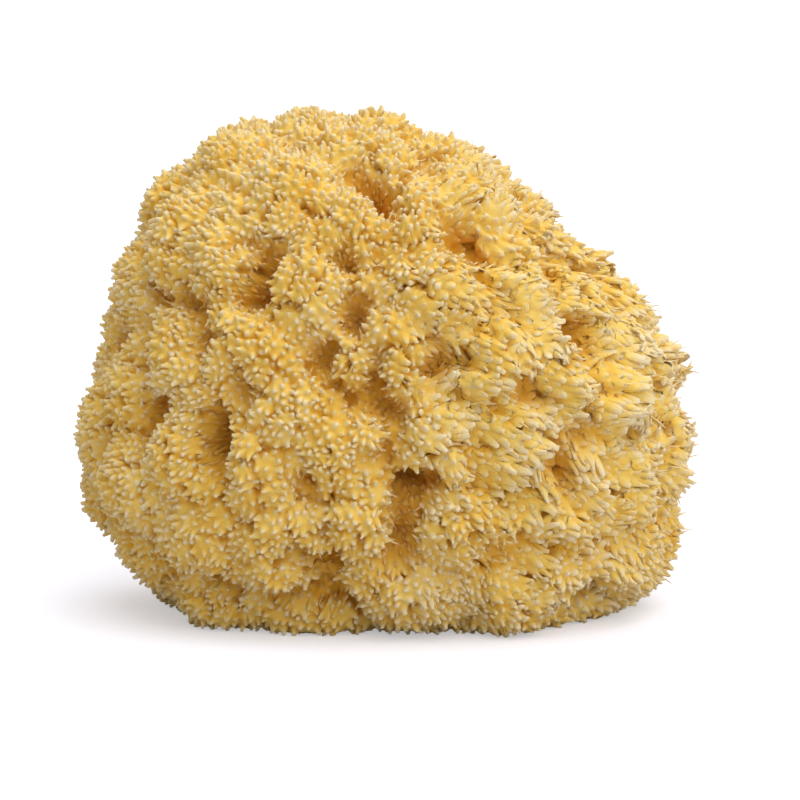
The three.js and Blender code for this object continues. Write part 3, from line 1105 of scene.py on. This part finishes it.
# Where on its tuft a tooth starts, how it strays and bends, its random sizes, how flat it is, and how much
# longer it is at a clump's end
TOOTH_START = (0.3, 0.6)
TOOTH_STRAY, TOOTH_BEND = 0.35, 0.15
TOOTH_LENGTHS, TOOTH_WIDTHS = (0.6, 1.2), (0.8, 1.3)
TOOTH_FLATNESS = 0.8
LONGER_AT_END = 0.3


def comb_teeth(tufts, cells, settings, random):
    """Fine teeth at the rims of the furrows and pits, and at the ends of the combed clumps."""
    rim = smoothstep(cells.hollow, *RIM_BEGINS) * (1 - smoothstep(cells.hollow, *RIM_ENDS))
    end = cells.combed * cells.rise
    chosen = random.random(len(tufts)) < np.maximum(RIM_TEETH * rim, END_TEETH * end)
    tuft, end = tufts.only(chosen), end[chosen]
    count = len(tuft)
    start = random.uniform(*TOOTH_START, count)
    way = tuft.along(start) + TOOTH_STRAY * random.normal(size=(count, 3))
    length = settings.tooth_length * random.uniform(*TOOTH_LENGTHS, count) * (1 + LONGER_AT_END * end)
    width = settings.tooth_thickness * random.uniform(*TOOTH_WIDTHS, count)
    side = any_across(way, random)
    bend = TOOTH_BEND * random.normal(size=(count, 3))
    thickness = width * TOOTH_FLATNESS
    return make_tufts(tuft.line(start), way, side, bend, length, width, thickness, tuft.tone, tuft.hollow)


# The right edge, as a share of half the width, the share of its tufts that have a fibre, and where one starts
EDGE_BEGINS = 0.8
FIBRE_CHANCE = 0.13
FIBRE_START = 0.4
# The way that a fibre is turned to, how it strays and bends, and its random sizes in those of a tooth
FIBRE_WAY = (0.7, 0, 0.1)
FIBRE_STRAY, FIBRE_BEND = 0.15, 0.2
FIBRE_LENGTHS, FIBRE_WIDTHS = (0.9, 1.8), (0.5, 0.8)


def stray_fibres(tufts, settings, random):
    """Thin pale fibres that stick out at the right edge."""
    at_edge = tufts.root[:, 0] > EDGE_BEGINS * HIGH.x
    tuft = tufts.only(at_edge & (random.random(len(tufts)) < FIBRE_CHANCE))
    count = len(tuft)
    way = tuft.way + FIBRE_WAY + FIBRE_STRAY * random.normal(size=(count, 3))
    length = settings.tooth_length * random.uniform(*FIBRE_LENGTHS, count)
    width = settings.tooth_thickness * random.uniform(*FIBRE_WIDTHS, count)
    side = any_across(way, random)
    bend = FIBRE_BEND * random.normal(size=(count, 3))
    root = tuft.line(FIBRE_START)
    return make_tufts(root, way, side, bend, length, width, width, np.ones(count), np.zeros(count))


class Nodes:
    """Short ways to add and join shader nodes."""

    def __init__(self, tree):
        self.tree = tree

    def add(self, kind, **inputs):
        node = self.tree.nodes.new(kind)
        for name, value in inputs.items():
            node.inputs[name].default_value = value
        return node

    def join(self, start, end):
        self.tree.links.new(start, end)

    def attribute(self, name):
        node = self.add("ShaderNodeAttribute")
        node.attribute_name = name
        return node.outputs["Fac"]

    def ranged(self, value, low, high, to_low, to_high):
        """A value taken smoothly from one range to another."""
        node = self.add("ShaderNodeMapRange")
        node.interpolation_type = "SMOOTHSTEP"
        self.join(value, node.inputs["Value"])
        for name, number in (("From Min", low), ("From Max", high), ("To Min", to_low), ("To Max", to_high)):
            node.inputs[name].default_value = number
        return node.outputs["Result"]

    def math(self, operation, first, second=None):
        """A sum, product or wave of sockets or plain numbers."""
        node = self.add("ShaderNodeMath")
        node.operation = operation
        for socket, value in zip(node.inputs, (first, second)):
            if isinstance(value, (int, float)):
                socket.default_value = value
            elif value is not None:
                self.join(value, socket)
        return node.outputs["Value"]

    def mix(self, share, first, second):
        """A colour between two others."""
        node = self.add("ShaderNodeMix")
        node.data_type = "RGBA"
        share_socket = node.inputs[0]
        colours = [socket for socket in node.inputs if socket.type == "RGBA"]
        for socket, value in zip((share_socket, *colours), (share, first, second)):
            self.join(value, socket)
        return next(socket for socket in node.outputs if socket.type == "RGBA")


# Ribs across a flat tuft: how close they are, and how much they show in its colour and in its height
RIBS = 13.0
RIB_SHADE = 0.08
RIB_HEIGHT = 0.35


def tone_and_shade_group(colours):
    """Node group: the fibre's colour from root to tip, darker at the roots and webs partly as painted shade,
    with patches, and with painted shade in the hollows, gaps and pores.
    """
    group = bpy.data.node_groups.new("Fibre Tone And Painted Shade", "ShaderNodeTree")
    for name, kind, default in (
        ("Along", "NodeSocketFloat", 0.5),
        ("Tone", "NodeSocketFloat", 0.5),
        ("Painted Hollow Shade", "NodeSocketFloat", 0.0),
        ("Rib", "NodeSocketFloat", 0.0),
        ("Tip Colour", "NodeSocketColor", (*colours.tip, 1)),
        ("Fibre Colour", "NodeSocketColor", (*colours.fibre, 1)),
        ("Root Colour", "NodeSocketColor", (*colours.root, 1)),
    ):
        group.interface.new_socket(name, in_out="INPUT", socket_type=kind).default_value = default
    group.interface.new_socket("Colour", in_out="OUTPUT", socket_type="NodeSocketColor")
    build = Nodes(group)
    given = build.add("NodeGroupInput").outputs
    where = build.add("ShaderNodeTexCoord")
    patches = build.add("ShaderNodeTexNoise", Scale=55.0, Detail=3.0, Roughness=0.6)
    build.join(where.outputs["Object"], patches.inputs["Vector"])
    patch = build.ranged(patches.outputs["Fac"], 0.3, 0.7, -0.12, 0.12)
    own = build.ranged(given["Tone"], 0.0, 1.0, -0.12, 0.12)
    waves = build.math("SINE", build.math("MULTIPLY", given["Rib"], RIBS))
    shifted = given["Along"]
    for shift in (patch, own, build.math("MULTIPLY", waves, RIB_SHADE)):
        shifted = build.math("ADD", shifted, shift)
    # From root to tip: darkest at the roots and webs, partly as painted shade, and paler towards the tips
    low = build.ranged(shifted, 0.0, 0.5, 0.0, 1.0)
    high = build.ranged(shifted, 0.35, 1.15, 0.0, 1.0)
    body = build.mix(low, given["Root Colour"], given["Fibre Colour"])
    tipped = build.mix(high, body, given["Tip Colour"])
    # Painted shade: the hollows, the gaps and holes between clumps, and the pores are mixed towards the root
    # colour
    deep = build.ranged(given["Painted Hollow Shade"], 0.05, 0.7, 0.0, 0.8)
    out = build.add("NodeGroupOutput")
    build.join(build.mix(deep, tipped, given["Root Colour"]), out.inputs["Colour"])
    return group


def grain_group():
    """Node group: fine grains, and ribs along the flat tufts, as a height and as a roughness."""
    group = bpy.data.node_groups.new("Fibre Grain", "ShaderNodeTree")
    group.interface.new_socket("Rib", in_out="INPUT", socket_type="NodeSocketFloat")
    group.interface.new_socket("Height", in_out="OUTPUT", socket_type="NodeSocketFloat")
    group.interface.new_socket("Roughness", in_out="OUTPUT", socket_type="NodeSocketFloat")
    build = Nodes(group)
    given = build.add("NodeGroupInput").outputs
    where = build.add("ShaderNodeTexCoord")
    grains = build.add("ShaderNodeTexNoise", Scale=900.0, Detail=3.0)
    build.join(where.outputs["Object"], grains.inputs["Vector"])
    waves = build.math("SINE", build.math("MULTIPLY", given["Rib"], RIBS))
    height = build.math("ADD", grains.outputs["Fac"], build.math("MULTIPLY", waves, RIB_HEIGHT))
    out = build.add("NodeGroupOutput")
    build.join(height, out.inputs["Height"])
    build.join(build.ranged(grains.outputs["Fac"], 0.3, 0.7, 0.7, 0.95), out.inputs["Roughness"])
    return group


@lru_cache(maxsize=1)
def fibre_material():
    """The sponge's fibre: soft, matt, and lit through a little by the light."""
    material = bpy.data.materials.new("Sponge fibre")
    material.use_nodes = True
    material.node_tree.nodes.clear()
    build = Nodes(material.node_tree)
    shader = build.add("ShaderNodeBsdfPrincipled")
    for name, value in (
        ("Subsurface Weight", 0.08),
        ("Subsurface Radius", (1.0, 0.9, 0.75)),
        ("Subsurface Scale", 0.6 * MM),
        ("Specular IOR Level", 0.2),
        ("Sheen Weight", 0.1),
        ("Sheen Roughness", 0.6),
    ):
        shader.inputs[name].default_value = value
    tone = build.add("ShaderNodeGroup")
    tone.node_tree = tone_and_shade_group(bpy.context.scene.sponge_colours)
    grain = build.add("ShaderNodeGroup")
    grain.node_tree = grain_group()
    for name, socket in (
        ("along", tone.inputs["Along"]),
        ("tone", tone.inputs["Tone"]),
        ("hollow", tone.inputs["Painted Hollow Shade"]),
        ("rib", tone.inputs["Rib"]),
        ("rib", grain.inputs["Rib"]),
    ):
        build.join(build.attribute(name), socket)
    raised = build.add("ShaderNodeBump", Strength=0.5, Distance=0.25 * MM)
    build.join(grain.outputs["Height"], raised.inputs["Height"])
    build.join(tone.outputs["Colour"], shader.inputs["Base Color"])
    build.join(grain.outputs["Roughness"], shader.inputs["Roughness"])
    build.join(raised.outputs["Normal"], shader.inputs["Normal"])
    out = build.add("ShaderNodeOutputMaterial")
    build.join(shader.outputs["BSDF"], out.inputs["Surface"])
    return material


class SPONGE_OT_cut_face(bpy.types.Operator):
    """Make the flat cut face underneath, with its pores"""

    bl_idname = "sponge.cut_face"
    bl_label = "Cut Face"

    def execute(self, context):
        for piece in sponge().pieces("cut_face", CUT):
            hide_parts(NODE)
        return {"FINISHED"}


class SPONGE_OT_tufts(bpy.types.Operator):
    """Make the tufts, short and round on the left, longer and laid over on the right"""

    bl_idname = "sponge.tufts"
    bl_label = "Tufts"

    def execute(self, context):
        sponge().pieces("tufts", GROWN)
        return {"FINISHED"}


class SPONGE_OT_teeth(bpy.types.Operator):
    """Make the fine teeth of the tufts' ends and of the furrows' rims"""

    bl_idname = "sponge.teeth"
    bl_label = "Fine Teeth"

    def execute(self, context):
        settings = context.scene.sponge_tufts
        random = np.random.default_rng(settings.seed + 3)
        made = sponge()
        teeth = comb_teeth(made.tufts[GROWN], made.cells.only(made.members[GROWN]), settings, random)
        mesh_piece("fine_teeth", fibre_material(), *strand_mesh(teeth, TOOTH_RINGS, random))
        return {"FINISHED"}


class SPONGE_OT_fibres(bpy.types.Operator):
    """Make the stray fibres of the right edge"""

    bl_idname = "sponge.fibres"
    bl_label = "Stray Fibres"

    def execute(self, context):
        settings = context.scene.sponge_tufts
        random = np.random.default_rng(settings.seed + 4)
        fibres = stray_fibres(sponge().tufts[GROWN], settings, random)
        mesh_piece("stray_fibres", fibre_material(), *strand_mesh(fibres, FIBRE_RINGS, random))
        return {"FINISHED"}


def add_light(name, strength, spread, place):
    """A soft light from far off that shines from a place towards the sponge."""
    lamp = bpy.data.lights.new(name, "SUN")
    lamp.energy = strength
    lamp.angle = spread
    holder = bpy.data.objects.new(name, lamp)
    holder.location = place
    holder.rotation_euler = Vector(place).to_track_quat("Z", "Y").to_euler()
    bpy.context.scene.collection.objects.link(holder)


# Half the floor's width, and how far it lies under the sponge so that the two don't touch
FLOOR_HALF = 8.0
FLOOR_GAP = 0.05 * MM


def add_floor(settings):
    """A wide plain floor that the camera sees as white."""
    mesh = bpy.data.meshes.new("floor")
    corners = [(x * FLOOR_HALF, y * FLOOR_HALF, 0) for x, y in ((-1, -1), (1, -1), (1, 1), (-1, 1))]
    mesh.from_pydata(corners, [], [range(4)])
    floor = bpy.data.objects.new("floor", mesh)
    floor.location.z = -FLOOR_GAP
    bpy.context.scene.collection.objects.link(floor)
    material = bpy.data.materials.new("Plain floor")
    material.use_nodes = True
    build = Nodes(material.node_tree)
    shader = material.node_tree.nodes["Principled BSDF"]
    shader.inputs["Base Color"].default_value = (*settings.floor, 1)
    shader.inputs["Roughness"].default_value = 0.9
    shader.inputs["Specular IOR Level"].default_value = 0.1
    shader.inputs["Emission Color"].default_value = (1, 1, 1, 1)
    seen = build.add("ShaderNodeLightPath").outputs["Is Camera Ray"]
    build.join(build.math("MULTIPLY", seen, settings.floor_glow), shader.inputs["Emission Strength"])
    mesh.materials.append(material)
    floor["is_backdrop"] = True


def add_camera(settings):
    """A long lens, a little above level, that frames the sponge as the photo does."""
    lens = bpy.data.cameras.new("camera")
    lens.lens = lens.sensor_width * settings.distance / settings.view_width
    camera = bpy.data.objects.new("camera", lens)
    back = Vector((0, -np.cos(settings.elevation), np.sin(settings.elevation)))
    camera.location = Vector(settings.aim) + back * settings.distance
    camera.rotation_euler = Euler((np.pi / 2 - settings.elevation, 0, 0))
    bpy.context.scene.collection.objects.link(camera)
    bpy.context.scene.camera = camera


class SPONGE_OT_stage(bpy.types.Operator):
    """Set up the floor, the soft lights and the camera"""

    bl_idname = "sponge.stage"
    bl_label = "Stage"

    def execute(self, context):
        scene = context.scene
        settings = scene.sponge_stage
        add_floor(settings)
        add_light("top light", settings.top_light, settings.spread, settings.top_light_place)
        add_light("side light", settings.side_light, settings.spread, settings.side_light_place)
        scene.world = bpy.data.worlds.new("soft white")
        scene.world.use_nodes = True
        background = scene.world.node_tree.nodes["Background"]
        background.inputs["Color"].default_value = (*settings.sky_colour, 1)
        background.inputs["Strength"].default_value = settings.sky
        scene.view_settings.view_transform = "Standard"
        add_camera(settings)
        return {"FINISHED"}


class SPONGE_PT_panel(bpy.types.Panel):
    """The sponge's pieces and settings"""

    bl_label = "Natural Sponge"
    bl_idname = "SPONGE_PT_panel"
    bl_space_type = "VIEW_3D"
    bl_region_type = "UI"
    bl_category = "Sponge"

    def draw(self, context):
        layout = self.layout
        for operator in OPERATORS:
            layout.operator(operator.bl_idname)
        for name in SETTINGS:
            group = getattr(context.scene, name)
            box = layout.box()
            for label in group.__annotations__:
                box.prop(group, label)


OPERATORS = (
    SPONGE_OT_cut_face,
    SPONGE_OT_tufts,
    SPONGE_OT_teeth,
    SPONGE_OT_fibres,
    SPONGE_OT_stage,
)
SETTINGS = {
    "sponge_form": SpongeForm,
    "sponge_tufts": SpongeTufts,
    "sponge_colours": SpongeColours,
    "sponge_stage": SpongeStage,
}


def register():
    """Register the settings, the operators and the panel."""
    for kind in (*SETTINGS.values(), *OPERATORS, SPONGE_PT_panel):
        bpy.utils.register_class(kind)
    for name, kind in SETTINGS.items():
        setattr(bpy.types.Scene, name, bpy.props.PointerProperty(type=kind))


def unregister():
    """Take the settings, the operators and the panel out again."""
    for name in SETTINGS:
        delattr(bpy.types.Scene, name)
    for kind in (SPONGE_PT_panel, *OPERATORS[::-1], *SETTINGS.values()):
        bpy.utils.unregister_class(kind)


def main():
    """Register the add-on, make every piece in turn, and work out the bounds of the solid and of the pieces.
    """
    register()
    bpy.ops.sponge.cut_face()
    bpy.ops.sponge.tufts()
    bpy.ops.sponge.teeth()
    bpy.ops.sponge.fibres()
    bpy.ops.sponge.stage()
    boxes = {
        "cad": [list(corner) for corner in cad_box],
        "visual": [list(corner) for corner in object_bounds()],
    }


if __name__ == "__main__":
    main()
